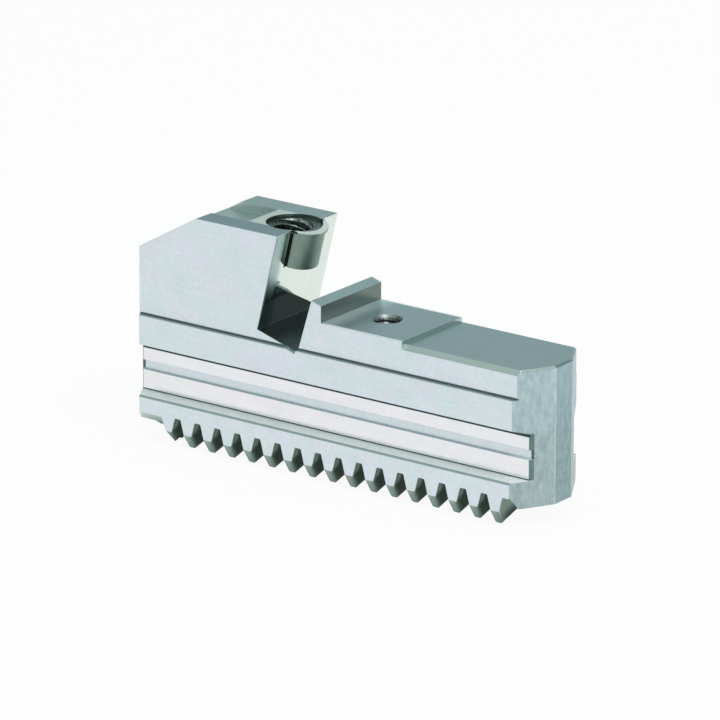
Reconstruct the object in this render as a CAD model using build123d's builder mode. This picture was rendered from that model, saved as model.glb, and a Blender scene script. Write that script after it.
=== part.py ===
# Base jaw of a wedge-bar power chuck: one machined steel body and the threaded bush in its raised block.
# Own frame in millimetres: X along the jaw, Y across it, Z up, origin at the middle of the tooth crests.
from build123d import *
import math
import os

# Whole jaw
jaw_length = 131.1
body_width = 26.0
end_flat_width = 7.3
end_bevel_angle = 30.0
end_edge_chamfer = 0.5

# Heights above the root line of the rack
block_height = 55.1
seat_height = 34.5
rear_flat_height = 33.6
relief_line_height = 25.9
groove_top_height = 17.9
groove_bottom_height = 4.1
land_relief_bottom = 9.6
land_relief_top = 12.2

# Bands and guide grooves on both long sides, measured out from or in from the upper body's side
middle_band_proud = 1.2
rack_band_proud = 1.7
groove_land_inset = 3.3
land_relief_depth = 1.0
groove_top_slope = 17.0
groove_mouth_chamfer = 0.95
corner_relief_depth = 0.35
upper_corner_relief_width = 0.9
lower_corner_relief_width = 0.35
relief_line_width = 0.5
relief_line_depth = 0.4

# Raised block at the left end
slope_run = 24.2
slope_angle = 30.0
block_top_length = 26.1
wall_lean = 13.8
top_slot_width = 13.2
top_slot_depth = 2.45
top_slot_run = 12.1

# Inclined slot between the block and the ridge
slot_depth = 26.9
slot_width = 13.5
slot_floor_slope = 16.5
ridge_wall_lean = 17.0
ridge_wall_height = 15.5

# Ridge and the flats that seat the top jaw
ridge_thickness = 3.0
ridge_top_slope = 17.7
step_from_ridge = 25.6
rear_edge_chamfer = 1.2

# Rack on the underside
rack_module = 2.0
tooth_slant = 16.0
tooth_count = 17
tooth_depth = 8.35
flank_angle = 15.0
tip_height = 4.45
tip_flank_angle = 3.0
gap_root_width = 1.92
root_fillet = 0.4
crest_fillet = 0.5
tooth_end_chamfer_height = 4.35
tooth_end_chamfer_depth = 3.6
first_gap_from_end = 14.75
first_flank_angle = 24.5
front_land_depth = 2.8
heel_depth = 3.7
heel_length = 3.4
heel_ramp = 1.3
front_land_chamfer_drop = 0.3
rear_land_depth = 3.0
rear_land_gap_half = 1.35
rear_land_flank_angle = 31.0

# Tapped hole in the seat, M8
seat_hole_from_ridge = 11.4
seat_hole_drill_radius = 3.4
seat_hole_mouth_radius = 4.1
seat_hole_depth = 18.0
drill_point_angle = 118.0

# Nose on the slot's wall that closes the inclined bore, with a collar at its top
nose_radius = 6.3
nose_axis_behind_wall = 1.6
nose_length = 10.55
nose_collar_radius = 6.85
nose_collar_height = 0.5
nose_relief_radius = 0.4

# Inclined bore in the block and the threaded bush in it, M12
bush_radius = 7.3
bush_seat_depth = 9.3
bush_bore_radius = 5.1
bush_mouth_chamfer = 0.6
bush_axis_behind_wall = 4.0
bush_top_drop = 0.9
bush_seat_fit = 0.02

# How far the cutting shapes run past the stock
run_out = 2.0


def sine(degrees):
    return math.sin(math.radians(degrees))


def cosine(degrees):
    return math.cos(math.radians(degrees))


def tangent(degrees):
    return math.tan(math.radians(degrees))


# Places worked out from the sizes above, along X from the middle and up from the crests
half_length = jaw_length / 2
half_body = body_width / 2
half_middle = half_body + middle_band_proud
half_rack = half_body + rack_band_proud
half_land = half_body - groove_land_inset
half_relief = half_land - land_relief_depth
half_corner_relief = half_land - corner_relief_depth
root_z = tooth_depth
block_top_z = root_z + block_height
seat_z = root_z + seat_height
rear_z = root_z + rear_flat_height
relief_line_z = root_z + relief_line_height
groove_top_z = root_z + groove_top_height
groove_bottom_z = root_z + groove_bottom_height
groove_corner_z = groove_top_z - (half_middle - half_land) * tangent(groove_top_slope)

slope_end_x = -half_length + slope_run
slope_foot_z = block_top_z - slope_run * tangent(slope_angle)
wall_top_x = slope_end_x + block_top_length
wall_foot_z = block_top_z - slot_depth * cosine(wall_lean)
wall_foot_x = wall_top_x - slot_depth * sine(wall_lean)
slot_low_x = wall_foot_x + slot_width * cosine(slot_floor_slope)
slot_low_z = wall_foot_z - slot_width * sine(slot_floor_slope)
ridge_left_x = slot_low_x + ridge_wall_height * sine(ridge_wall_lean)
ridge_left_z = slot_low_z + ridge_wall_height * cosine(ridge_wall_lean)
ridge_right_x = ridge_left_x + ridge_thickness
ridge_right_z = ridge_left_z - ridge_thickness * tangent(ridge_top_slope)
step_x = ridge_right_x + step_from_ridge

# Side view of the jaw without its rack
side_outline = [
    (-half_length, 0),
    (-half_length, slope_foot_z),
    (slope_end_x, block_top_z),
    (wall_top_x, block_top_z),
    (wall_foot_x, wall_foot_z),
    (slot_low_x, slot_low_z),
    (ridge_left_x, ridge_left_z),
    (ridge_right_x, ridge_right_z),
    (ridge_right_x, seat_z),
    (step_x, seat_z),
    (step_x, rear_z),
    (half_length, rear_z),
    (half_length, 0),
]

# Right half of the section across the jaw, from the crests up
half_section = [
    (0, 0),
    (half_rack - tooth_end_chamfer_depth, 0),
    (half_rack, tooth_end_chamfer_height),
    (half_rack, groove_bottom_z),
    (half_corner_relief, groove_bottom_z),
    (half_corner_relief, groove_bottom_z + lower_corner_relief_width),
    (half_land, groove_bottom_z + lower_corner_relief_width),
    (half_land, root_z + land_relief_bottom),
    (half_relief, root_z + land_relief_bottom),
    (half_relief, root_z + land_relief_top),
    (half_land, root_z + land_relief_top),
    (half_land, groove_corner_z - upper_corner_relief_width),
    (half_corner_relief, groove_corner_z - upper_corner_relief_width),
    (half_corner_relief, groove_corner_z),
    (half_land, groove_corner_z),
    (half_middle, groove_top_z),
    (half_middle, relief_line_z),
    (half_body - relief_line_depth, relief_line_z),
    (half_body - relief_line_depth, relief_line_z + relief_line_width),
    (half_body, relief_line_z + relief_line_width),
    (half_body, block_top_z),
    (0, block_top_z),
]

# Right half of the view from above, with the bevels carried on past the proud bands
bevel_run = (half_rack - end_flat_width / 2) * tangent(end_bevel_angle)
half_plan = [
    (-half_length, 0),
    (-half_length, end_flat_width / 2),
    (-half_length + bevel_run, half_rack),
    (half_length - bevel_run, half_rack),
    (half_length, end_flat_width / 2),
    (half_length, 0),
]

# Rack places, with the gaps drawn where they cross the middle of the jaw
pitch = math.pi * rack_module / cosine(tooth_slant)
flank_run = tangent(flank_angle)
gap_half_root = gap_root_width / 2
gap_half_tip = gap_half_root + (tooth_depth - tip_height) * flank_run
gap_half_crest = gap_half_tip + tip_height * tangent(tip_flank_angle)
first_gap_x = -half_length + first_gap_from_end
last_gap_x = first_gap_x + (tooth_count - 1) * pitch
first_flank_x = first_gap_x - pitch + gap_half_root
first_flank_run = tangent(first_flank_angle)
heel_flank_x = first_flank_x + heel_depth * first_flank_run
first_tip_x = first_flank_x + (tooth_depth - tip_height) * first_flank_run
front_land_z = root_z - front_land_depth
heel_z = root_z - heel_depth
rear_land_z = root_z - rear_land_depth
rear_land_foot = rear_land_gap_half + rear_land_depth * tangent(rear_land_flank_angle)

# The cutter starts in front of the jaw and leaves behind it, so its drawing is shifted by the slant
cutter_start_y = half_rack + run_out
cutter_shift = cutter_start_y * tangent(tooth_slant)
cutter_reach = half_length + cutter_shift + run_out


def rack_space_outline():
    """Corners of all that the rack cutter clears, from the front land over the gaps to the rear land."""
    corners = [
        (-cutter_reach, -run_out),
        (-cutter_reach, front_land_z),
        (heel_flank_x - heel_length - heel_ramp, front_land_z),
        (heel_flank_x - heel_length, heel_z),
        (heel_flank_x, heel_z),
        (first_tip_x, tip_height),
        (first_tip_x + tip_height * tangent(tip_flank_angle), 0),
    ]
    for index in range(tooth_count):
        gap_x = first_gap_x + index * pitch
        corners.append((gap_x - gap_half_crest, 0))
        corners.append((gap_x - gap_half_tip, tip_height))
        corners.append((gap_x - gap_half_root, root_z))
        if index < tooth_count - 1:
            corners.append((gap_x + gap_half_root, root_z))
            corners.append((gap_x + gap_half_tip, tip_height))
            corners.append((gap_x + gap_half_crest, 0))
    corners += [
        (last_gap_x + rear_land_gap_half, root_z),
        (last_gap_x + rear_land_foot, rear_land_z),
        (cutter_reach, rear_land_z),
        (cutter_reach, -run_out),
    ]
    return [(x + cutter_shift, z) for x, z in corners]


tooth_way = Vector(-sine(tooth_slant), cosine(tooth_slant), 0)
first_flank = Plane(
    origin=(first_flank_x, 0, root_z),
    x_dir=tooth_way,
    z_dir=tooth_way.cross(Vector(first_flank_run, 0, -1)),
)
seat_hole_x = ridge_right_x + seat_hole_from_ridge

# Planes square to the inclined bore, by how far they lie down the wall and behind it
bore_axis = Vector(sine(wall_lean), 0, cosine(wall_lean))
bore_stock = bush_seat_depth + bush_radius


def inclined_plane(down_wall, behind_wall):
    """Plane square to the bore's axis, from the wall's top edge down the wall and back into the block."""
    origin = (
        wall_top_x - down_wall * sine(wall_lean) - behind_wall * cosine(wall_lean),
        0,
        block_top_z - down_wall * cosine(wall_lean) + behind_wall * sine(wall_lean),
    )
    return Plane(origin=origin, x_dir=(0, 1, 0), z_dir=bore_axis)


bush_seat = inclined_plane(bush_seat_depth, bush_axis_behind_wall)
nose_foot = inclined_plane(nose_length, nose_axis_behind_wall)
collar_foot = inclined_plane(nose_collar_height, nose_axis_behind_wall)
nose_half_chord = math.sqrt(nose_radius**2 - nose_axis_behind_wall**2)
bush_top_z = block_top_z - bush_top_drop

# Ends of the guide grooves, where the lands meet the bevels
land_end_x = half_length - (half_land - end_flat_width / 2) * tangent(end_bevel_angle)
chamfer_on_bevel = groove_mouth_chamfer * tangent(end_bevel_angle)
chamfer_on_land = groove_mouth_chamfer - chamfer_on_bevel


with BuildPart() as front_land_cut:
    # Chamfer along the bottom front edge of the front land, up to the first tooth's flank
    with BuildSketch(Plane.YZ.offset(-half_length - run_out)):
        with BuildLine():
            Polyline(
                (-half_rack - run_out, root_z - front_land_chamfer_drop + run_out),
                (-half_rack + root_z - front_land_chamfer_drop, 0),
                (-half_rack - run_out, 0),
                close=True,
            )
        make_face()
    extrude(amount=half_length + run_out)
    split(bisect_by=first_flank, keep=Keep.TOP)

with BuildPart() as base_jaw:
    # Bar with the bands, guide grooves and tooth ends
    with BuildSketch(Plane.YZ.offset(-half_length)):
        with BuildLine():
            Polyline(*half_section)
            mirror(about=Plane.YZ)
        make_face()
    extrude(amount=jaw_length)

    # Side view and view from above, kept inside their outlines
    with BuildSketch(Plane.XZ):
        with BuildLine():
            Polyline(*side_outline, close=True)
        make_face()
    extrude(amount=half_rack + run_out, both=True, mode=Mode.INTERSECT)
    with BuildSketch(Plane.XY):
        with BuildLine():
            Polyline(*half_plan)
            mirror(about=Plane.XZ)
        make_face()
    extrude(amount=block_top_z + run_out, mode=Mode.INTERSECT)

    # Lead-in chamfers at the four mouths of the guide grooves
    with BuildSketch(Plane.XY.offset(groove_bottom_z)):
        with BuildLine():
            Polyline(
                (land_end_x - chamfer_on_land, half_land),
                (land_end_x + chamfer_on_bevel, half_land - groove_mouth_chamfer),
                (land_end_x + chamfer_on_bevel, half_land),
                close=True,
            )
        make_face()
        mirror(about=Plane.YZ)
        mirror(about=Plane.XZ)
    extrude(amount=groove_corner_z - groove_bottom_z, mode=Mode.SUBTRACT)

    # Slanted rack, with round roots and crests
    with BuildSketch(Plane.XZ.offset(cutter_start_y)) as rack_space:
        with BuildLine():
            Polyline(*rack_space_outline(), close=True)
        make_face()
        roots = [v for v in rack_space.vertices() if abs(v.Y - root_z) < root_fillet / 2]
        fillet(roots, radius=root_fillet)
        crests = [v for v in rack_space.vertices() if abs(v.Y) < crest_fillet / 2]
        fillet(crests, radius=crest_fillet)
    extrude(
        amount=2 * cutter_start_y / cosine(tooth_slant),
        dir=tooth_way,
        mode=Mode.SUBTRACT,
    )
    add(front_land_cut.part, mode=Mode.SUBTRACT)

    # Shallow slot in the block's top
    with BuildSketch(Plane.XY.offset(block_top_z - top_slot_depth)):
        with Locations((slope_end_x + top_slot_run, 0)):
            Rectangle(slope_run + top_slot_run, top_slot_width, align=(Align.MAX, Align.CENTER))
    extrude(amount=top_slot_depth + run_out, mode=Mode.SUBTRACT)

    # Nose and its collar, square to the bore's axis and nowhere above the block's top
    with BuildSketch(nose_foot):
        Circle(nose_radius)
    extrude(amount=nose_length)
    with BuildSketch(collar_foot):
        Circle(nose_collar_radius)
    extrude(amount=nose_collar_height)
    split(bisect_by=Plane.XY.offset(block_top_z), keep=Keep.BOTTOM)

    # Relief grooves where the nose meets the wall, and the inclined bore
    with BuildSketch(inclined_plane(nose_length, 0)):
        with Locations((-nose_half_chord, 0), (nose_half_chord, 0)):
            Circle(nose_relief_radius)
    extrude(amount=nose_length + run_out, mode=Mode.SUBTRACT)
    with BuildSketch(bush_seat):
        Circle(bush_radius + bush_seat_fit)
    extrude(amount=bore_stock, mode=Mode.SUBTRACT)

    # Tapped hole in the seat, with a drill point and a countersunk mouth
    with BuildSketch(Plane(origin=(seat_hole_x, 0, 0), x_dir=(1, 0, 0), z_dir=(0, -1, 0))):
        with BuildLine():
            Polyline(
                (0, seat_z - seat_hole_depth - seat_hole_drill_radius / tangent(drill_point_angle / 2)),
                (seat_hole_drill_radius, seat_z - seat_hole_depth),
                (seat_hole_drill_radius, seat_z - (seat_hole_mouth_radius - seat_hole_drill_radius)),
                (seat_hole_mouth_radius, seat_z),
                (0, seat_z),
                close=True,
            )
        make_face()
    revolve(axis=Axis((seat_hole_x, 0, 0), (0, 0, 1)), mode=Mode.SUBTRACT)

    # Chamfers round the rear flat: wide along its sides, narrow at the end
    rear_face = base_jaw.faces().filter_by(Axis.Z).filter_by_position(Axis.Z, rear_z - run_out, rear_z)
    side_edges = rear_face.sort_by(SortBy.AREA)[-1].edges().filter_by(Axis.X)
    chamfer(side_edges, length=rear_edge_chamfer)
    end_edges = base_jaw.edges().filter_by(Plane.XY).filter_by_position(Axis.X, land_end_x, half_length)
    end_edges = end_edges.group_by(Axis.Z)[-1]
    chamfer(end_edges, length=end_edge_chamfer)
base_jaw.part.label = "base_jaw"

with BuildPart() as threaded_bush:
    # Turned blank on the bore's seat, faced below the level of the block's top
    with BuildSketch(bush_seat):
        Circle(bush_radius)
    extrude(amount=bore_stock)
    split(bisect_by=Plane.XY.offset(bush_top_z), keep=Keep.BOTTOM)

    # Threaded bore with a chamfered mouth
    with BuildSketch(bush_seat):
        Circle(bush_bore_radius)
    extrude(amount=bore_stock, mode=Mode.SUBTRACT)
    bush_top = threaded_bush.faces().sort_by(Axis.Z)[-1]
    chamfer(bush_top.inner_wires().edges(), length=bush_mouth_chamfer)
threaded_bush.part.label = "threaded_bush"

os.makedirs("parts", exist_ok=True)
for piece in (base_jaw, threaded_bush):
    export_step(piece.part, f"parts/{piece.part.label}.step")
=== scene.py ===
import math

import bmesh
import bpy
from mathutils import Matrix, Vector


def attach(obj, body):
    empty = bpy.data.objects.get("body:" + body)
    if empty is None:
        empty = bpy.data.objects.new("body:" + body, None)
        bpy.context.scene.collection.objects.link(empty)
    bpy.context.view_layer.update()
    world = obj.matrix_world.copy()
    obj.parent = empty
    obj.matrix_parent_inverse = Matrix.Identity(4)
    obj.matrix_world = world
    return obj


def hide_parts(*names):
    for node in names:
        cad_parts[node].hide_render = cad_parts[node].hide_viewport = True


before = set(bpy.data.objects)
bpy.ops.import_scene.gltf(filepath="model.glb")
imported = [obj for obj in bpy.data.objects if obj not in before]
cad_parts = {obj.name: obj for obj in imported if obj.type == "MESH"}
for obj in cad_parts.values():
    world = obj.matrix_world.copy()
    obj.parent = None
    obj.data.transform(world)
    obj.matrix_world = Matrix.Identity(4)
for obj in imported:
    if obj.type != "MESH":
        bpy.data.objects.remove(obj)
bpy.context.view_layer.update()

MM = 0.001

# Camera fitted to the photograph, on a 720 x 720 picture
CAMERA_TARGET = Vector((1.85, 0, 35.35)) * MM
CAMERA_AZIMUTH = 36.477
CAMERA_ELEVATION = 17.854
CAMERA_ROLL = 0.129
CAMERA_DISTANCE = 1.66429
CAMERA_LENS = 324.1045
CAMERA_SENSOR = 36
CAMERA_SHIFT = (-0.00087, -0.02647)
CAMERA_REACH = 20

# Places on the jaw, in millimetres, as in the part's source
HALF_LENGTH = 65.55
HALF_BODY = 13.0
HALF_MIDDLE = 14.2
HALF_RACK = 14.7
HALF_LAND = 9.7
END_FLAT_HALF = 3.65
BEVEL_START_X = 56
LAND_RELIEF_DEPTH = 1.0
LAND_RELIEF_BOTTOM_Z = 17.95
LAND_RELIEF_TOP_Z = 20.55
LAND_RELIEF_END_X = 62.634
GROOVE_BOTTOM_Z = 12.45
GROOVE_CORNER_Z = 24.87
GROOVE_TOP_Z = 26.25
UPPER_CORNER_RELIEF = 0.9
LOWER_CORNER_RELIEF = 0.35
RELIEF_LINE_Z = 34.25
RELIEF_LINE_WIDTH = 0.5
RELIEF_LINE_DEPTH = 0.25
SEAT_Z = 42.85
REAR_Z = 41.95
REAR_CHAMFER = 1.2
STEP_X = 24.409
SEAT_HOLE_X = 10.209
SEAT_HOLE_RADIUS = 3.4
SEAT_HOLE_MOUTH = 4.1
SLOT_FLOOR_SLOPE = 16.5
RIDGE_TOP_SLOPE = 17.7
RIDGE_RIGHT_X = -1.191
RIDGE_TOP_Z = 45
BLOCK_TOP_Z = 63.45
TOP_SLOT_HALF = 6.65
TOP_SLOT_END_X = -29.25
TOP_SLOT_DEPTH = 2.5
WALL_LEAN = 13.8
WALL_TOP_X = -15.25
WALL_FOOT_Z = 38.2
BUSH_SEAT = Vector((-21.3529, 0, 55.3726))
BUSH_RADIUS = 7.3
BUSH_TOP_Z = 62.55
NOSE_BEHIND_WALL = 1.6
NOSE_RADIUS = 6.3
NOSE_COLLAR_RADIUS = 6.85
NOSE_FOOT_Z = 53.2
NOSE_START_X = -20

# Rack: its roots, its slant across the jaw, its phase along it and the chamfers on the tooth ends
ROOT_Z = 8.35
FIRST_GAP_X = -50.8
LAST_TIP_X = 50.8
TOOTH_PITCH = 6.5364
TOOTH_SLANT = 16.0
TOOTH_END_HEIGHT = 4.35
TOOTH_END_DEPTH = 3.6

# Threads, which the solids leave out: M12 in the bush and M8 in the seat hole
BUSH_CREST = 5.1
BUSH_ROOT = 6.0
BUSH_PITCH = 1.75
BUSH_MOUTH = 5.8
BUSH_COLUMNS = 96
BUSH_ROWS = 84
SEAT_THREAD_DEPTH = 14.0
SEAT_THREAD_CREST = 2.95
SEAT_THREAD_PITCH = 1.25
SEAT_THREAD_LEAD_IN = 0.8
SEAT_THREAD_COLUMNS = 64
SEAT_THREAD_ROWS = 112
WALL_CLEARANCE = 0.005
ROOT_CLEARANCE = 0.03
CREST_SHARE = 0.25
ROOT_SHARE = 0.125

# A mask's soft edge, and how near a face lies to a place that tells which face it is
SOFT = 0.02
NEAR = 0.1

# Roundings that the light shows, in metres
EDGE_ROUNDING = 0.00025
SHARP_ROUNDING = 0.00004
WALL_RIM_ROUNDING = 0.0006
RACK_ROUNDING = 0.002
THREAD_ROUNDING = 0.0001

# How far the ground lands are turned up, so that they don't mirror the ledge below them
LAND_LIFT = 0.115

# Floor: half its side and its gap under the jaw in metres, and how much of it is seen at its full white
FLOOR_HALF = 6.0
FLOOR_GAP = 0.00002
FLOOR_SEEN = 0.93
FLOOR_GREY = (242, 242, 242)
# Painted shadow that metal sees on the floor under the jaw
UNDER_JAW_PAINTED_SHADOW = (120, 138, 128)

KEY_PLACE = (0.9, -0.5, 1.6)
KEY_AIM = (0, 0, 0.03)
KEY_SIZE = (1.0, 1.0)
KEY_POWER = 12

WHITE = (1, 1, 1, 1)

# World's colour by elevation in degrees
SKY = (
    (-90, WHITE),
    (-2, WHITE),
    (4, (0.62, 0.70, 0.72, 1)),
    (13, (0.44, 0.55, 0.57, 1)),
    (24, (0.38, 0.49, 0.50, 1)),
    (40, (0.36, 0.45, 0.46, 1)),
    (58, (0.72, 0.77, 0.77, 1)),
    (90, WHITE),
)

# Colour on each face, 0 to 255, laid over the ones before it; None is a colour that changes over the face. Some
# are painted shade or painted highlight, as the comments below say
TINTS = (
    ("top", (178, 195, 196)),
    ("block_front_top", (152, 174, 176)),
    ("seat_near_ridge", (232, 248, 248)),
    ("seat_edge", (246, 254, 251)),
    ("band_top", (240, 248, 250)),
    ("step", (180, 197, 192)),
    # Painted shade: the ridge wall darker towards its back
    ("ridge_wall", None),
    ("ridge_top", (192, 211, 210)),
    # Painted shade: the ends and the flat end darker towards the bottom
    ("ends", None),
    ("flat_end", None),
    # Painted shade on the back bevel, which faces away from the light
    ("back_bevel", (150, 165, 168)),
    # Painted highlight along the edge between the end bevel and the end flat
    ("bevel_edge_highlight", (190, 210, 208)),
    ("relief", (217, 227, 231)),
    ("land", (235, 235, 238)),
    ("ledge", (245, 249, 247)),
    ("ledge_edge", (150, 172, 168)),
    ("relief_ledge", (228, 238, 239)),
    # Painted shade and shadow: the relief's top under the land, the relief line, the groove's corner reliefs,
    # the groove's mouth and the relief's end
    ("relief_top", (165, 185, 184)),
    ("line", (136, 152, 150)),
    ("corner", (75, 92, 88)),
    ("mouth", (110, 135, 130)),
    ("relief_end", (92, 112, 110)),
    ("rear_chamfer", (196, 213, 206)),
    ("rear_chamfer_end", (158, 178, 172)),
    ("step_corner", (184, 201, 194)),
    # rack and tooth_end: painted light and shade on the flanks, roots and tooth ends
    ("rack", None),
    ("tooth_end", None),
    ("wall", (222, 232, 225)),
    ("wall_edge", (190, 212, 204)),
    # Painted shade: the slot floor near black, with painted light at its low front
    ("slot_floor", None),
    ("slot_floor_edge", (190, 204, 204)),
    ("wall_rim", (190, 214, 204)),
    ("top_slot", (196, 210, 205)),
    ("spot_face", (220, 229, 222)),
    ("nose_side", (128, 148, 138)),
    ("collar_top", (232, 240, 234)),
    ("collar_side", (150, 168, 160)),
    # Painted shade on the collar's side towards the back
    ("collar_back", (70, 80, 77)),
    # Painted shade in the grooves at the nose's foot
    ("nose_groove", (44, 50, 48)),
    # Painted shade inside the bore and the seat hole
    ("in_bore", (122, 140, 130)),
    ("hole", (140, 148, 146)),
)

PLAIN_ROUGHNESS = 0.30
ROUGHNESS = (
    ("side", 0.34),
    ("land", 0.18),
    ("ends", 0.42),
    ("wall", 0.05),
    ("wall_dull", 0.4),
    ("slot_floor", 0.12),
    ("nose_side", 0.42),
    ("nose_groove", 0.42),
    ("matt", 0.6),
    ("line", 0.6),
    ("seat_near_ridge", 0.55),
    ("seat_edge", 0.7),
    ("step_corner", 0.7),
    ("spot_face", 0.6),
    ("collar_top", 0.6),
)

# How far each kind of mark lightens and darkens a face
MARKS = (
    ("ends", "grain_up", 0.10),
    ("ends", "blotch", 0.12),
    ("side", "grain_along", 0.02),
    ("plain_side", "scratch", 0.05),
    ("top", "grain_across", 0.025),
    ("nose_side", "grain_up", 0.12),
)
CLOUD_CHANGE = 0.025
SPECKLE_CHANGE = 0.02


def sine(degrees):
    return math.sin(math.radians(degrees))


def cosine(degrees):
    return math.cos(math.radians(degrees))


BORE_AXIS = Vector((sine(WALL_LEAN), 0, cosine(WALL_LEAN)))
WALL_WAY = Vector((cosine(WALL_LEAN), 0, -sine(WALL_LEAN)))
WALL_TOP = Vector((WALL_TOP_X, 0, BLOCK_TOP_Z))


def add_camera():
    out = Vector((
        sine(CAMERA_AZIMUTH) * cosine(CAMERA_ELEVATION),
        -cosine(CAMERA_AZIMUTH) * cosine(CAMERA_ELEVATION),
        sine(CAMERA_ELEVATION),
    ))
    right = Vector((cosine(CAMERA_AZIMUTH), sine(CAMERA_AZIMUTH), 0))
    up = out.cross(right)
    turn = Matrix((right, up, out)).transposed().to_4x4()
    roll = Matrix.Rotation(math.radians(CAMERA_ROLL), 4, "Z")
    data = bpy.data.cameras.new("camera")
    data.sensor_width = CAMERA_SENSOR
    data.lens = CAMERA_LENS
    data.shift_x, data.shift_y = CAMERA_SHIFT
    data.clip_end = CAMERA_REACH
    camera = bpy.data.objects.new("camera", data)
    camera.matrix_world = Matrix.Translation(CAMERA_TARGET + out * CAMERA_DISTANCE) @ turn @ roll
    bpy.context.scene.collection.objects.link(camera)
    bpy.context.scene.camera = camera


class Nodes:
    """A material's nodes, with short calls for the sums that the masks are made of.

    Places are in millimetres and face normals are plain numbers, both in the object's own frame.
    """

    def __init__(self, name):
        self.material = bpy.data.materials.new(name)
        self.material.use_nodes = True
        self.tree = self.material.node_tree
        self.tree.nodes.clear()
        self.output = self.add("ShaderNodeOutputMaterial")
        coordinates = self.add("ShaderNodeTexCoord")
        scale = self.add("ShaderNodeVectorMath", operation="SCALE")
        self.set(scale.inputs[0], coordinates.outputs["Object"])
        scale.inputs["Scale"].default_value = 1 / MM
        self.point = scale.outputs[0]
        self.x, self.y, self.z = self.split(self.point)
        self.nx, self.ny, self.nz = self.split(coordinates.outputs["Normal"])
        self.far = self.size(self.x)
        self.off = self.size(self.y)

    def add(self, kind, **settings):
        node = self.tree.nodes.new(kind)
        for key, value in settings.items():
            setattr(node, key, value)
        return node

    def set(self, socket, value):
        if isinstance(value, bpy.types.NodeSocket):
            self.tree.links.new(value, socket)
        else:
            socket.default_value = value

    def math(self, operation, *values):
        node = self.add("ShaderNodeMath", operation=operation)
        for socket, value in zip(node.inputs, values):
            self.set(socket, value)
        return node.outputs[0]

    def size(self, value):
        return self.math("ABSOLUTE", value)

    def split(self, vector):
        node = self.add("ShaderNodeSeparateXYZ")
        self.set(node.inputs[0], vector)
        return node.outputs

    def rise(self, value, low, high):
        """0 below low, 1 above high, smooth between them."""
        node = self.add("ShaderNodeMapRange", interpolation_type="SMOOTHSTEP")
        self.set(node.inputs["Value"], value)
        node.inputs["From Min"].default_value = low
        node.inputs["From Max"].default_value = high
        return node.outputs[0]

    def no(self, mask):
        return self.math("SUBTRACT", 1.0, mask)

    def fall(self, value, low, high):
        """1 below low, 0 above high, smooth between them."""
        return self.no(self.rise(value, low, high))

    def at(self, value, place, half):
        """1 where value is within half of place."""
        return self.both(self.rise(value, place - half * 1.05, place - half),
                         self.fall(value, place + half, place + half * 1.05))

    def from_origin(self, origin):
        node = self.add("ShaderNodeVectorMath", operation="SUBTRACT")
        self.set(node.inputs[0], self.point)
        node.inputs[1].default_value = origin
        return node.outputs[0]

    def along(self, origin, direction):
        """How far a place lies from origin along direction."""
        node = self.add("ShaderNodeVectorMath", operation="DOT_PRODUCT")
        self.set(node.inputs[0], self.from_origin(origin))
        node.inputs[1].default_value = direction
        return node.outputs["Value"]

    def axis_distance(self, origin, direction):
        """How far a place lies from the line through origin along direction."""
        cross = self.add("ShaderNodeVectorMath", operation="CROSS_PRODUCT")
        self.set(cross.inputs[0], self.from_origin(origin))
        cross.inputs[1].default_value = direction
        length = self.add("ShaderNodeVectorMath", operation="LENGTH")
        self.set(length.inputs[0], cross.outputs[0])
        return length.outputs["Value"]

    def dot(self, direction):
        """Cosine of the angle between the face's normal and direction."""
        normal = (self.nx, self.ny, self.nz)
        products = [self.math("MULTIPLY", s, v) for s, v in zip(normal, Vector(direction).normalized())]
        return self.math("ADD", self.math("ADD", products[0], products[1]), products[2])

    def facing(self, direction, sharp=0.985):
        """1 where the face looks along direction."""
        return self.rise(self.dot(direction), sharp - (1 - sharp) * 0.6, sharp)

    def both(self, *masks):
        result = masks[0]
        for mask in masks[1:]:
            result = self.math("MULTIPLY", result, mask)
        return result

    def either(self, *masks):
        result = masks[0]
        for mask in masks[1:]:
            result = self.math("MAXIMUM", result, mask)
        return result

    def noise(self, scale, stretch=(1, 1, 1), detail=3.0, roughness=0.55):
        """Noise from 0 to 1 around a half, with scale waves in a millimetre."""
        mapping = self.add("ShaderNodeMapping")
        self.set(mapping.inputs["Vector"], self.point)
        mapping.inputs["Scale"].default_value = stretch
        texture = self.add("ShaderNodeTexNoise")
        self.set(texture.inputs["Vector"], mapping.outputs[0])
        texture.inputs["Scale"].default_value = scale
        texture.inputs["Detail"].default_value = detail
        texture.inputs["Roughness"].default_value = roughness
        return texture.outputs["Fac"]

    def range(self, value, low, high, to_low, to_high):
        node = self.add("ShaderNodeMapRange")
        self.set(node.inputs["Value"], value)
        for key, number in (("From Min", low), ("From Max", high), ("To Min", to_low), ("To Max", to_high)):
            self.set(node.inputs[key], number)
        return node.outputs[0]

    def around_one(self, noise, change):
        return self.range(noise, 0.3, 0.7, 1 - change, 1 + change)

    def mix(self, factor, first, second):
        node = self.add("ShaderNodeMix", data_type="FLOAT")
        self.set(node.inputs["Factor"], factor)
        self.set(node.inputs["A"], first)
        self.set(node.inputs["B"], second)
        return node.outputs[0]

    def mix_colour(self, factor, first, second, blend="MIX"):
        node = self.add("ShaderNodeMix", data_type="RGBA", blend_type=blend)
        self.set(node.inputs["Factor"], factor)
        self.set(node.inputs[6], first)
        self.set(node.inputs[7], second)
        return node.outputs[2]

    def grey(self, value):
        node = self.add("ShaderNodeCombineColor")
        for socket in node.inputs[:3]:
            self.set(socket, value)
        return node.outputs[0]

    def bump(self, height, strength, distance, normal=None):
        node = self.add("ShaderNodeBump")
        self.set(node.inputs["Height"], height)
        node.inputs["Strength"].default_value = strength
        node.inputs["Distance"].default_value = distance
        if normal is not None:
            self.set(node.inputs["Normal"], normal)
        return node.outputs[0]

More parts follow.
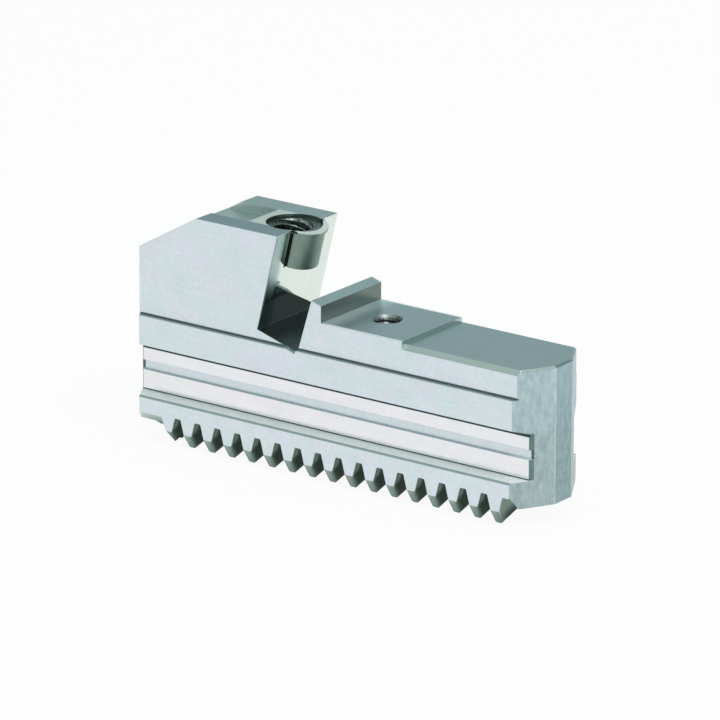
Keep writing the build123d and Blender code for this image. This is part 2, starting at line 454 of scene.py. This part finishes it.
    def tilt(self, normal, mask, lift):
        """Normal turned up by lift where mask is 1."""
        up = self.add("ShaderNodeCombineXYZ")
        self.set(up.inputs[2], self.math("MULTIPLY", mask, lift))
        total = self.add("ShaderNodeVectorMath", operation="ADD")
        self.set(total.inputs[0], normal)
        self.set(total.inputs[1], up.outputs[0])
        unit = self.add("ShaderNodeVectorMath", operation="NORMALIZE")
        self.set(unit.inputs[0], total.outputs[0])
        return unit.outputs[0]

    def round_edges(self, radius):
        node = self.add("ShaderNodeBevel", samples=6)
        self.set(node.inputs["Radius"], radius)
        return node.outputs[0]

    def mix_shader(self, factor, first, second):
        node = self.add("ShaderNodeMixShader")
        for socket, value in zip(node.inputs, (factor, first.outputs[0], second.outputs[0])):
            self.set(socket, value)
        return node

    def metal(self, base, rough, normal, metallic=1.0):
        shader = self.add("ShaderNodeBsdfPrincipled")
        self.set(shader.inputs["Metallic"], metallic)
        self.set(shader.inputs["Base Color"], base)
        self.set(shader.inputs["Roughness"], rough)
        self.set(shader.inputs["Normal"], normal)
        self.set(self.output.inputs["Surface"], shader.outputs[0])


def colour(red, green, blue):
    """Linear colour from the 0 to 255 values that a picture shows."""
    def linear(value):
        value /= 255
        return value / 12.92 if value <= 0.04045 else ((value + 0.055) / 1.055) ** 2.4
    return (linear(red), linear(green), linear(blue), 1)


def find_main_faces(n, face):
    """Ends, long sides and tops, and the rack."""
    steep = n.size(n.nx)
    face["ends"] = n.both(n.rise(steep, 0.47, 0.49), n.rise(n.far, BEVEL_START_X, BEVEL_START_X + 0.5),
                          n.fall(n.size(n.nz), 0.2, 0.3))
    face["flat_end"] = n.both(face["ends"], n.rise(steep, 0.98, 0.99))
    face["back_bevel"] = n.both(face["ends"], n.rise(n.ny, 0.5, 0.6))
    # Painted highlight along the edge between the end bevel and the end flat
    face["bevel_edge_highlight"] = n.both(face["ends"], n.at(n.off, END_FLAT_HALF, 0.22))
    face["body"] = n.no(face["ends"])
    face["side"] = n.either(n.facing((0, -1, 0)), n.facing((0, 1, 0)))
    face["top"] = n.facing((0, 0, 1))
    across = n.size(n.ny)
    face["rack"] = n.both(n.fall(n.z, ROOT_Z + 0.1, ROOT_Z + 0.2), n.fall(across, 0.95, 0.97), face["body"])
    face["tooth_end"] = n.both(face["rack"], n.rise(across, 0.70, 0.74), n.fall(n.nz, -0.5, -0.4))


def find_band_faces(n, face):
    """Ledges and lines along the long sides, and all that lies in the guide grooves."""
    face["ledge"] = n.both(face["top"], n.at(n.z, GROOVE_BOTTOM_Z, NEAR))
    face["ledge_edge"] = n.both(n.at(n.z, GROOVE_BOTTOM_Z - 0.2, 0.25),
                                n.rise(n.off, HALF_RACK - 0.9, HALF_RACK - 0.3), face["body"])
    face["band_top"] = n.both(face["top"], n.at(n.z, RELIEF_LINE_Z, NEAR))
    line_top = RELIEF_LINE_Z + RELIEF_LINE_WIDTH
    # Painted shade in the relief line
    face["line"] = n.both(face["body"], n.rise(n.z, RELIEF_LINE_Z - 0.03, RELIEF_LINE_Z - 0.01),
                          n.fall(n.z, line_top, line_top + SOFT),
                          n.fall(n.off, HALF_MIDDLE - RELIEF_LINE_DEPTH, HALF_MIDDLE - 0.05))

    below_groove_top = n.fall(n.z, GROOVE_TOP_Z, GROOVE_TOP_Z + SOFT / 2)
    groove = n.both(face["body"], n.rise(n.z, GROOVE_BOTTOM_Z + SOFT / 2, GROOVE_BOTTOM_Z + SOFT),
                    below_groove_top, n.fall(n.off, HALF_LAND + 0.2, HALF_LAND + 0.3))
    face["land"] = n.both(face["side"], groove, n.at(n.off, HALF_LAND, NEAR))
    face["relief"] = n.both(face["side"], groove, n.at(n.off, HALF_LAND - LAND_RELIEF_DEPTH, NEAR))
    face["relief_ledge"] = n.both(face["top"], groove, n.at(n.z, LAND_RELIEF_BOTTOM_Z, NEAR))
    # Painted shadow along the relief's top, under the land
    face["relief_top"] = n.both(face["relief"],
                                n.rise(n.z, LAND_RELIEF_TOP_Z - 0.4, LAND_RELIEF_TOP_Z - 0.25))
    # Painted shade at the relief's end
    face["relief_end"] = n.both(face["relief"],
                                n.rise(n.far, LAND_RELIEF_END_X - 1.0, LAND_RELIEF_END_X - 0.85))
    upper = GROOVE_CORNER_Z - UPPER_CORNER_RELIEF
    lower = GROOVE_BOTTOM_Z + LOWER_CORNER_RELIEF
    # Painted shade in the groove's corner reliefs
    face["corner"] = n.both(groove, n.either(n.rise(n.z, upper - SOFT, upper), n.fall(n.z, lower, lower + SOFT)))
    slants = [n.facing((x, y, 0)) for x in (1, -1) for y in (1, -1)]
    # Painted shade on the slanted faces at the groove's mouth
    face["mouth"] = n.both(n.rise(n.z, GROOVE_BOTTOM_Z, GROOVE_BOTTOM_Z + 0.1), below_groove_top,
                           n.fall(n.off, HALF_LAND + 0.1, HALF_LAND + 0.2), n.either(*slants))


def find_top_faces(n, face):
    """Slot floor, ridge, seat with its hole, step and rear flat."""
    floor_way = (sine(SLOT_FLOOR_SLOPE), 0, cosine(SLOT_FLOOR_SLOPE))
    face["slot_floor"] = n.both(n.facing(floor_way, 0.999), n.fall(n.z, 39, 40))
    face["slot_floor_edge"] = n.both(face["slot_floor"], n.rise(n.off, HALF_BODY, HALF_BODY + 0.05))
    ridge_way = (sine(RIDGE_TOP_SLOPE), 0, cosine(RIDGE_TOP_SLOPE))
    face["ridge_top"] = n.both(n.facing(ridge_way, 0.999), n.rise(n.z, RIDGE_TOP_Z - 1, RIDGE_TOP_Z))
    right = n.facing((1, 0, 0))
    face["ridge_wall"] = n.both(right, n.at(n.x, RIDGE_RIGHT_X, 0.2))
    face["step"] = n.both(right, n.at(n.x, STEP_X, 0.2))
    seat = n.both(face["top"], n.at(n.z, SEAT_Z, NEAR))
    face["seat_near_ridge"] = n.both(seat, n.fall(n.x, RIDGE_RIGHT_X, RIDGE_RIGHT_X + 8))
    face["seat_edge"] = n.both(seat, n.rise(n.off, HALF_BODY - 0.8, HALF_BODY - 0.5))
    # Painted shade inside the seat hole
    face["hole"] = n.both(n.fall(n.z, SEAT_Z - 0.03, SEAT_Z - 0.01), n.rise(n.z, 12, 14),
                          n.at(n.x, SEAT_HOLE_X, SEAT_HOLE_MOUTH + 0.2),
                          n.fall(n.off, SEAT_HOLE_MOUTH + 0.2, SEAT_HOLE_MOUTH + 0.3))
    face["rear_chamfer"] = n.both(n.at(n.z, REAR_Z - REAR_CHAMFER / 2, REAR_CHAMFER / 2 - SOFT),
                                  n.rise(n.x, STEP_X, STEP_X + 0.1), n.rise(n.nz, 0.6, 0.7),
                                  n.fall(n.nz, 0.75, 0.8))
    face["rear_chamfer_end"] = n.both(face["rear_chamfer"], n.rise(n.far, 60, 61))
    reach = REAR_CHAMFER + 0.15
    face["step_corner"] = n.both(n.rise(n.x, STEP_X - 0.05, STEP_X), n.fall(n.x, STEP_X + 0.6, STEP_X + 1.3),
                                 n.rise(n.off, HALF_BODY - reach, HALF_BODY - reach + 0.1),
                                 n.rise(n.z, REAR_Z - reach, REAR_Z - reach + 0.1),
                                 n.fall(n.z, REAR_Z, REAR_Z + 0.1), n.no(face["side"]))
    face["sharp_seat"] = n.both(seat, n.fall(n.x, RIDGE_RIGHT_X + 0.4, RIDGE_RIGHT_X + 0.5))
    face["sharp_ridge"] = n.both(face["ridge_wall"], n.fall(n.z, SEAT_Z + 0.4, SEAT_Z + 0.5))


def find_block_faces(n, face):
    """Block's top with its slot, the leaning wall, the nose on it and the bore, by distance from their axes."""
    below_top = n.fall(n.z, BLOCK_TOP_Z - SOFT, BLOCK_TOP_Z - SOFT / 2)
    face["block_front_top"] = n.both(face["top"], n.rise(n.z, BLOCK_TOP_Z - 0.1, BLOCK_TOP_Z - 0.05),
                                     n.fall(n.y, -TOP_SLOT_HALF - 0.05, -TOP_SLOT_HALF + 0.05))
    slot_foot = BLOCK_TOP_Z - TOP_SLOT_DEPTH
    face["top_slot"] = n.both(n.rise(n.z, slot_foot - 0.1, slot_foot), below_top,
                              n.fall(n.off, TOP_SLOT_HALF - 0.03, TOP_SLOT_HALF - 0.01),
                              n.fall(n.x, TOP_SLOT_END_X + SOFT, TOP_SLOT_END_X + SOFT * 2))
    face["spot_face"] = n.both(face["top"], n.rise(n.z, BLOCK_TOP_Z - 0.05, BLOCK_TOP_Z - 0.04),
                               n.fall(n.off, TOP_SLOT_HALF - 0.25, TOP_SLOT_HALF + 0.05),
                               n.rise(n.x, TOP_SLOT_END_X - 0.1, TOP_SLOT_END_X))
    face["wall"] = n.both(n.facing(WALL_WAY), n.at(n.along(WALL_TOP, WALL_WAY), 0, 0.05))
    face["wall_edge"] = n.both(face["wall"], n.fall(n.y, -9.5, -8.5))
    face["wall_rim"] = n.both(face["wall"], n.fall(n.y, -HALF_BODY + 0.5, -HALF_BODY + 1.0))
    face["wall_dull"] = n.either(face["wall_rim"], n.both(face["wall_edge"], n.rise(n.z, 42, 47), 0.5))
    face["wall_foot"] = n.both(face["wall"], n.fall(n.z, WALL_FOOT_Z, WALL_FOOT_Z + 0.6))

    from_nose = n.axis_distance(WALL_TOP - WALL_WAY * NOSE_BEHIND_WALL, BORE_AXIS)
    from_bore = n.axis_distance(BUSH_SEAT, BORE_AXIS)
    right_of_block = n.rise(n.x, NOSE_START_X - 1, NOSE_START_X)
    # Painted shade on the bore's wall above the bush
    face["in_bore"] = n.both(n.fall(from_bore, BUSH_RADIUS + 0.03, BUSH_RADIUS + 0.06),
                             n.rise(n.z, BUSH_SEAT.z - 1.4, BUSH_SEAT.z - 0.4), below_top)
    not_bore = n.no(face["in_bore"])
    nose = n.both(n.fall(from_nose, NOSE_COLLAR_RADIUS + 0.03, NOSE_COLLAR_RADIUS + 0.06),
                  n.rise(n.z, NOSE_FOOT_Z - 3.2, NOSE_FOOT_Z - 2.2), below_top, not_bore, n.no(face["wall"]),
                  right_of_block)
    along_bore = n.dot(BORE_AXIS)
    face["collar_top"] = n.both(nose, n.rise(along_bore, 0.985, 0.99))
    face["nose_side"] = n.both(nose, n.fall(along_bore, 0.5, 0.6))
    face["collar_side"] = n.both(face["nose_side"],
                                 n.rise(from_nose, NOSE_COLLAR_RADIUS - 0.1, NOSE_COLLAR_RADIUS - 0.05))
    # Painted shade on the collar's side towards the back
    face["collar_back"] = n.both(face["collar_side"], n.rise(n.y, 0, 3))

    # Relief grooves at the nose's foot: the part cut into the nose and the part cut into the wall, both painted
    # dark as shade
    groove_place = math.sqrt(NOSE_RADIUS ** 2 - NOSE_BEHIND_WALL ** 2)
    in_nose = n.both(nose, n.at(n.off, groove_place, 0.42),
                     n.fall(from_nose, NOSE_RADIUS - 0.03, NOSE_RADIUS - 0.01))
    in_wall = n.both(right_of_block, n.at(n.off, groove_place + 0.45, 0.45),
                     n.rise(n.z, NOSE_FOOT_Z - 0.1, NOSE_FOOT_Z), below_top, not_bore,
                     n.rise(from_nose, NOSE_RADIUS + 0.01, NOSE_RADIUS + 0.03))
    face["nose_groove"] = n.either(in_nose, in_wall)


def rack_painted_light_and_shade(n):
    """Painted light and shade of the flanks and roots, and of the chamfered tooth ends."""
    # Painted shade: a flank gets darker behind the line where it meets the tooth's end, and the deep parts are
    # darkest; higher up towards the roots it is painted light
    chamfer = n.math("MULTIPLY", n.math("SUBTRACT", TOOTH_END_HEIGHT, n.z), TOOTH_END_DEPTH / TOOTH_END_HEIGHT)
    behind = n.math("SUBTRACT", n.math("SUBTRACT", HALF_RACK, n.math("MAXIMUM", chamfer, 0.0)), n.off)
    rack = n.mix_colour(n.rise(behind, 0.2, 3.2), colour(128, 146, 139), colour(58, 66, 64))
    rack = n.mix_colour(n.rise(n.z, 3.8, 6.2), rack, colour(222, 238, 230))
    rack = n.mix_colour(n.fall(n.off, HALF_RACK - 5.5, HALF_RACK - 2.5), rack, colour(56, 64, 62))

    # Painted light on the last flank and on the front land face, which face open light
    turn = n.math("ADD", n.x, n.math("MULTIPLY", n.y, sine(TOOTH_SLANT) / cosine(TOOTH_SLANT)))
    last = n.both(n.rise(turn, LAST_TIP_X, LAST_TIP_X + 0.2), n.fall(behind, 10, 14))
    last_shade = n.mix_colour(n.rise(behind, 1.5, 6), colour(150, 166, 160), colour(76, 86, 82))
    last_shade = n.mix_colour(n.rise(n.z, 0.5, 4.5), last_shade, colour(230, 242, 237))
    rack = n.mix_colour(last, rack, last_shade)
    rack = n.mix_colour(n.fall(n.x, -60, -57), rack, colour(216, 238, 228))

    # Phase 0 is the middle of a gap and 0.5 is the tooth's tip; each chamfered tooth end is painted light on its
    # left and shade on its right
    phase = n.math("FRACT", n.math("DIVIDE", n.math("SUBTRACT", turn, FIRST_GAP_X), TOOTH_PITCH))
    return rack, n.mix_colour(n.rise(phase, 0.3, 0.66), colour(182, 206, 196), colour(140, 160, 151))


def jaw_colour(n, face):
    # Painted shade on the ends, darker towards the bottom
    shade_towards_bottom = n.fall(n.z, 12, 42)
    # Painted light on the slot floor's low front, over its painted dark shade
    slot_painted_light = n.both(n.fall(n.z, 34.0, 36.3), n.fall(n.y, -10, 1))
    rack_shade, tooth_end_shade = rack_painted_light_and_shade(n)
    shades = {
        # Painted shade: the ridge wall darker towards its back
        "ridge_wall": n.mix_colour(n.rise(n.y, -2, 10), colour(127, 134, 129), colour(112, 128, 120)),
        "ends": n.mix_colour(shade_towards_bottom, colour(180, 201, 204), colour(169, 188, 189)),
        "flat_end": n.mix_colour(shade_towards_bottom, colour(162, 186, 191), colour(148, 172, 175)),
        "rack": rack_shade,
        "tooth_end": tooth_end_shade,
        "slot_floor": n.mix_colour(slot_painted_light, colour(19, 22, 23), colour(88, 100, 101)),
    }
    hue = n.noise(0.11, stretch=(1, 1.3, 1.1), detail=3)
    base = n.mix_colour(n.rise(hue, 0.35, 0.65), colour(213, 228, 231), colour(221, 227, 234))
    for name, tint in TINTS:
        base = n.mix_colour(face[name], base, shades[name] if tint is None else colour(*tint))
    return base


def jaw_marks(n, face, speckle):
    """Soft clouds, fine speckle and the grain that grinding and milling left, as a share of the colour."""
    marks = {
        "blotch": n.noise(0.7, stretch=(1, 1, 0.6), detail=3, roughness=0.6),
        "grain_along": n.noise(1.6, stretch=(0.05, 1, 1), detail=2),
        "grain_up": n.noise(1.1, stretch=(1, 1, 0.25), detail=4, roughness=0.65),
        "grain_across": n.noise(1.6, stretch=(1, 0.05, 1), detail=2),
        "scratch": n.noise(1.2, stretch=(1, 1, 0.7), detail=5, roughness=0.75),
    }
    cloud = n.noise(0.16, detail=4)
    tone = n.math("MULTIPLY", n.around_one(cloud, CLOUD_CHANGE), n.around_one(speckle, SPECKLE_CHANGE))
    for name, mark, change in MARKS:
        tone = n.math("MULTIPLY", tone, n.mix(face[name], 1.0, n.around_one(marks[mark], change)))
    return n.grey(tone)


def jaw_material():
    n = Nodes("ground_jaw_steel")
    face = {}
    find_main_faces(n, face)
    find_band_faces(n, face)
    find_top_faces(n, face)
    find_block_faces(n, face)
    face["plain_side"] = n.both(face["side"], n.no(face["land"]))
    face["matt"] = n.either(face["ledge"], face["band_top"], face["relief_ledge"])

    speckle = n.noise(2.2, detail=2)
    base = n.mix_colour(1.0, jaw_colour(n, face), jaw_marks(n, face, speckle), blend="MULTIPLY")
    rough = PLAIN_ROUGHNESS
    for name, value in ROUGHNESS:
        rough = n.mix(face[name], rough, value)

    sharp = n.either(face["slot_floor"], face["wall_foot"], face["sharp_ridge"], face["sharp_seat"],
                     face["step_corner"])
    radius = n.mix(face["rack"], EDGE_ROUNDING, RACK_ROUNDING)
    radius = n.mix(face["wall_rim"], radius, WALL_RIM_ROUNDING)
    radius = n.mix(sharp, radius, SHARP_ROUNDING)
    normal = n.tilt(n.round_edges(radius), n.either(face["land"], face["relief"]), LAND_LIFT)
    normal = n.bump(speckle, 0.12, 0.00002, normal)
    n.metal(base, rough, normal, n.mix(n.either(face["matt"], face["step_corner"]), 1.0, 0.1))
    return n.material


def thread_material(name, light, dark, painted_shade_from=None):
    """Turned or tapped steel; the last argument is the radius about the bore's axis from which a bush is painted
    dark, as shade in the gap around it.
    """
    n = Nodes(name)
    streak = n.noise(1.4, stretch=(1, 1, 0.3), detail=3)
    base = n.mix_colour(n.rise(streak, 0.35, 0.65), dark, light)
    if painted_shade_from:
        # Painted shade: the bush's outside near black, as in the gap around it
        from_axis = n.axis_distance(BUSH_SEAT, BORE_AXIS)
        base = n.mix_colour(n.rise(from_axis, painted_shade_from - 0.1, painted_shade_from), base, colour(24, 27, 26))
    normal = n.bump(streak, 0.15, 0.00003, n.round_edges(THREAD_ROUNDING))
    n.metal(base, n.range(streak, 0.3, 0.7, 0.22, 0.34), normal)
    return n.material


def add_floor():
    mesh = bpy.data.meshes.new("floor")
    signs = ((-1, -1), (1, -1), (1, 1), (-1, 1))
    corners = [(x * FLOOR_HALF, y * FLOOR_HALF, -FLOOR_GAP) for x, y in signs]
    mesh.from_pydata(corners, [], [(0, 1, 2, 3)])
    floor = bpy.data.objects.new("floor", mesh)
    bpy.context.scene.collection.objects.link(floor)
    n = Nodes("pale_floor")

    # What metal sees of the floor is a painted shadow under the jaw, where no light gets in
    beyond = n.math("MAXIMUM", n.math("SUBTRACT", n.far, HALF_LENGTH), n.math("SUBTRACT", n.off, HALF_RACK))
    path = n.add("ShaderNodeLightPath").outputs
    under = n.both(path["Is Glossy Ray"], n.fall(beyond, -9, 5))
    diffuse = n.add("ShaderNodeBsdfDiffuse")
    diffuse.inputs["Color"].default_value = colour(*FLOOR_GREY)
    glow = n.add("ShaderNodeEmission")
    n.set(glow.inputs["Color"], n.mix_colour(under, WHITE, colour(*UNDER_JAW_PAINTED_SHADOW)))
    glow.inputs["Strength"].default_value = 1.0
    seen = n.math("MAXIMUM", path["Is Camera Ray"], path["Is Glossy Ray"])
    pale = n.mix_shader(n.math("MULTIPLY", seen, FLOOR_SEEN), diffuse, glow)

    # From below the floor doesn't hide the jaw
    from_below = n.both(path["Is Camera Ray"], n.add("ShaderNodeNewGeometry").outputs["Backfacing"])
    surface = n.mix_shader(from_below, pale, n.add("ShaderNodeBsdfTransparent"))
    n.set(n.output.inputs["Surface"], surface.outputs[0])
    floor.data.materials.append(n.material)


def add_world():
    world = bpy.data.worlds.new("studio")
    bpy.context.scene.world = world
    world.use_nodes = True
    tree = world.node_tree
    tree.nodes.clear()
    output = tree.nodes.new("ShaderNodeOutputWorld")
    background = tree.nodes.new("ShaderNodeBackground")
    coordinates = tree.nodes.new("ShaderNodeTexCoord")
    split = tree.nodes.new("ShaderNodeSeparateXYZ")
    tree.links.new(coordinates.outputs["Generated"], split.inputs[0])
    ramp = tree.nodes.new("ShaderNodeValToRGB")
    spread = tree.nodes.new("ShaderNodeMapRange")
    spread.inputs["From Min"].default_value = -1
    spread.inputs["From Max"].default_value = 1
    tree.links.new(split.outputs["Z"], spread.inputs["Value"])
    tree.links.new(spread.outputs[0], ramp.inputs[0])
    elements = ramp.color_ramp.elements
    while len(elements) < len(SKY):
        elements.new(0.5)
    for element, (elevation, tone) in zip(elements, SKY):
        element.position = (sine(elevation) + 1) / 2
        element.color = tone

    # Behind the jaw the camera sees white
    path = tree.nodes.new("ShaderNodeLightPath")
    mix = tree.nodes.new("ShaderNodeMix")
    mix.data_type = "RGBA"
    tree.links.new(path.outputs["Is Camera Ray"], mix.inputs[0])
    tree.links.new(ramp.outputs[0], mix.inputs[6])
    mix.inputs[7].default_value = WHITE
    tree.links.new(mix.outputs[2], background.inputs["Color"])
    tree.links.new(background.outputs[0], output.inputs["Surface"])


def paint(node, material):
    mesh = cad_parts[node].data
    mesh.materials.clear()
    mesh.materials.append(material)


def add_area(name, place, aim, size, power):
    data = bpy.data.lights.new(name, "AREA")
    data.shape = "RECTANGLE"
    data.size, data.size_y = size
    data.energy = power
    lamp = bpy.data.objects.new(name, data)
    lamp.location = place
    lamp.rotation_euler = (Vector(aim) - Vector(place)).to_track_quat("-Z", "Y").to_euler()
    bpy.context.scene.collection.objects.link(lamp)


def thread_depth(turn):
    """Share of the thread's full depth at a place in its pitch, from crest over flank to root and back."""
    half = abs(turn % 1 - 0.5) * 2
    return min(1, max(0, (half - CREST_SHARE) / (1 - CREST_SHARE - ROOT_SHARE)))


def threaded_tube(name, foot, axis, across, outer, crest, root, pitch, top, mouth, lead_in, columns, rows,
                  material):
    """Tube with a real screw thread inside; top gives its height along the axis at a radius and a direction."""
    second = axis.cross(across)
    bm = bmesh.new()

    def ring(radius_of, height_of):
        verts = []
        for i in range(columns):
            angle = 2 * math.pi * i / columns
            way = across * math.cos(angle) + second * math.sin(angle)
            height = height_of(way)
            verts.append(bm.verts.new((foot + way * radius_of(angle, way, height) + axis * height) * MM))
        return verts

    def strip(lower, upper, smooth, inward):
        for i in range(columns):
            j = (i + 1) % columns
            corners = (lower[i], lower[j], upper[j], upper[i])
            face = bm.faces.new(tuple(reversed(corners)) if inward else corners)
            face.smooth = smooth

    def bore_radius(angle, way, height):
        depth = thread_depth(height / pitch - angle / (2 * math.pi))
        fade = min(1, (top(way, mouth) - height) / lead_in) if lead_in else 1
        radius = root + (crest - root) * (1 - depth) * fade
        return max(radius, mouth - max(0, top(way, mouth) - height))

    inner = [ring(bore_radius, lambda way, r=row: top(way, mouth) * r / rows) for row in range(rows + 1)]
    for lower, upper in zip(inner, inner[1:]):
        strip(lower, upper, True, True)
    outer_foot = ring(lambda *_: outer, lambda way: 0)
    outer_top = ring(lambda *_: outer, lambda way: top(way, outer))
    strip(outer_foot, outer_top, True, False)
    strip(inner[-1], outer_top, False, True)
    strip(outer_foot, inner[0], False, True)
    for verts in (inner[0], inner[-1], outer_foot, outer_top):
        for i in range(columns):
            bm.edges.get((verts[i], verts[(i + 1) % columns])).smooth = False
    bmesh.ops.recalc_face_normals(bm, faces=bm.faces)
    mesh = bpy.data.meshes.new(name)
    bm.to_mesh(mesh)
    bm.free()
    mesh.materials.append(material)
    piece = bpy.data.objects.new(name, mesh)
    bpy.context.scene.collection.objects.link(piece)
    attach(piece, "root")
    return piece


def add_bush():
    """Threaded bush on the bore's seat, faced level under the block's top."""

    def top(way, radius):
        return (BUSH_TOP_Z - BUSH_SEAT.z - radius * way.z) / BORE_AXIS.z

    # The bush's streaked steel is darkened as painted shade inside the bore
    steel = thread_material("turned_bush_steel", colour(136, 146, 142), colour(84, 96, 90), BUSH_RADIUS - 0.05)
    piece = threaded_tube("bush_with_thread", BUSH_SEAT, BORE_AXIS, Vector((0, 1, 0)), BUSH_RADIUS, BUSH_CREST,
                          BUSH_ROOT, BUSH_PITCH, top, BUSH_MOUTH, 0, BUSH_COLUMNS, BUSH_ROWS, steel)
    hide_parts("threaded_bush")


def add_seat_thread():
    """Thread of the tapped hole, inside the solid's plain wall."""
    thread_top = SEAT_Z - (SEAT_HOLE_MOUTH - SEAT_HOLE_RADIUS)
    foot = Vector((SEAT_HOLE_X, 0, thread_top - SEAT_THREAD_DEPTH))
    root = SEAT_HOLE_RADIUS - ROOT_CLEARANCE
    # The tapped steel's streaks are darkened as painted shade inside the hole
    steel = thread_material("tapped_steel", colour(132, 138, 136), colour(80, 88, 85))
    piece = threaded_tube("seat_hole_thread", foot, Vector((0, 0, 1)), Vector((1, 0, 0)),
                          SEAT_HOLE_RADIUS - WALL_CLEARANCE, SEAT_THREAD_CREST, root, SEAT_THREAD_PITCH,
                          lambda way, radius: SEAT_THREAD_DEPTH, root, SEAT_THREAD_LEAD_IN,
                          SEAT_THREAD_COLUMNS, SEAT_THREAD_ROWS, steel)


add_camera()
paint("base_jaw", jaw_material())
add_bush()
add_seat_thread()
add_floor()
add_world()
add_area("key", KEY_PLACE, KEY_AIM, KEY_SIZE, KEY_POWER)
bpy.context.scene.view_settings.view_transform = "Standard"
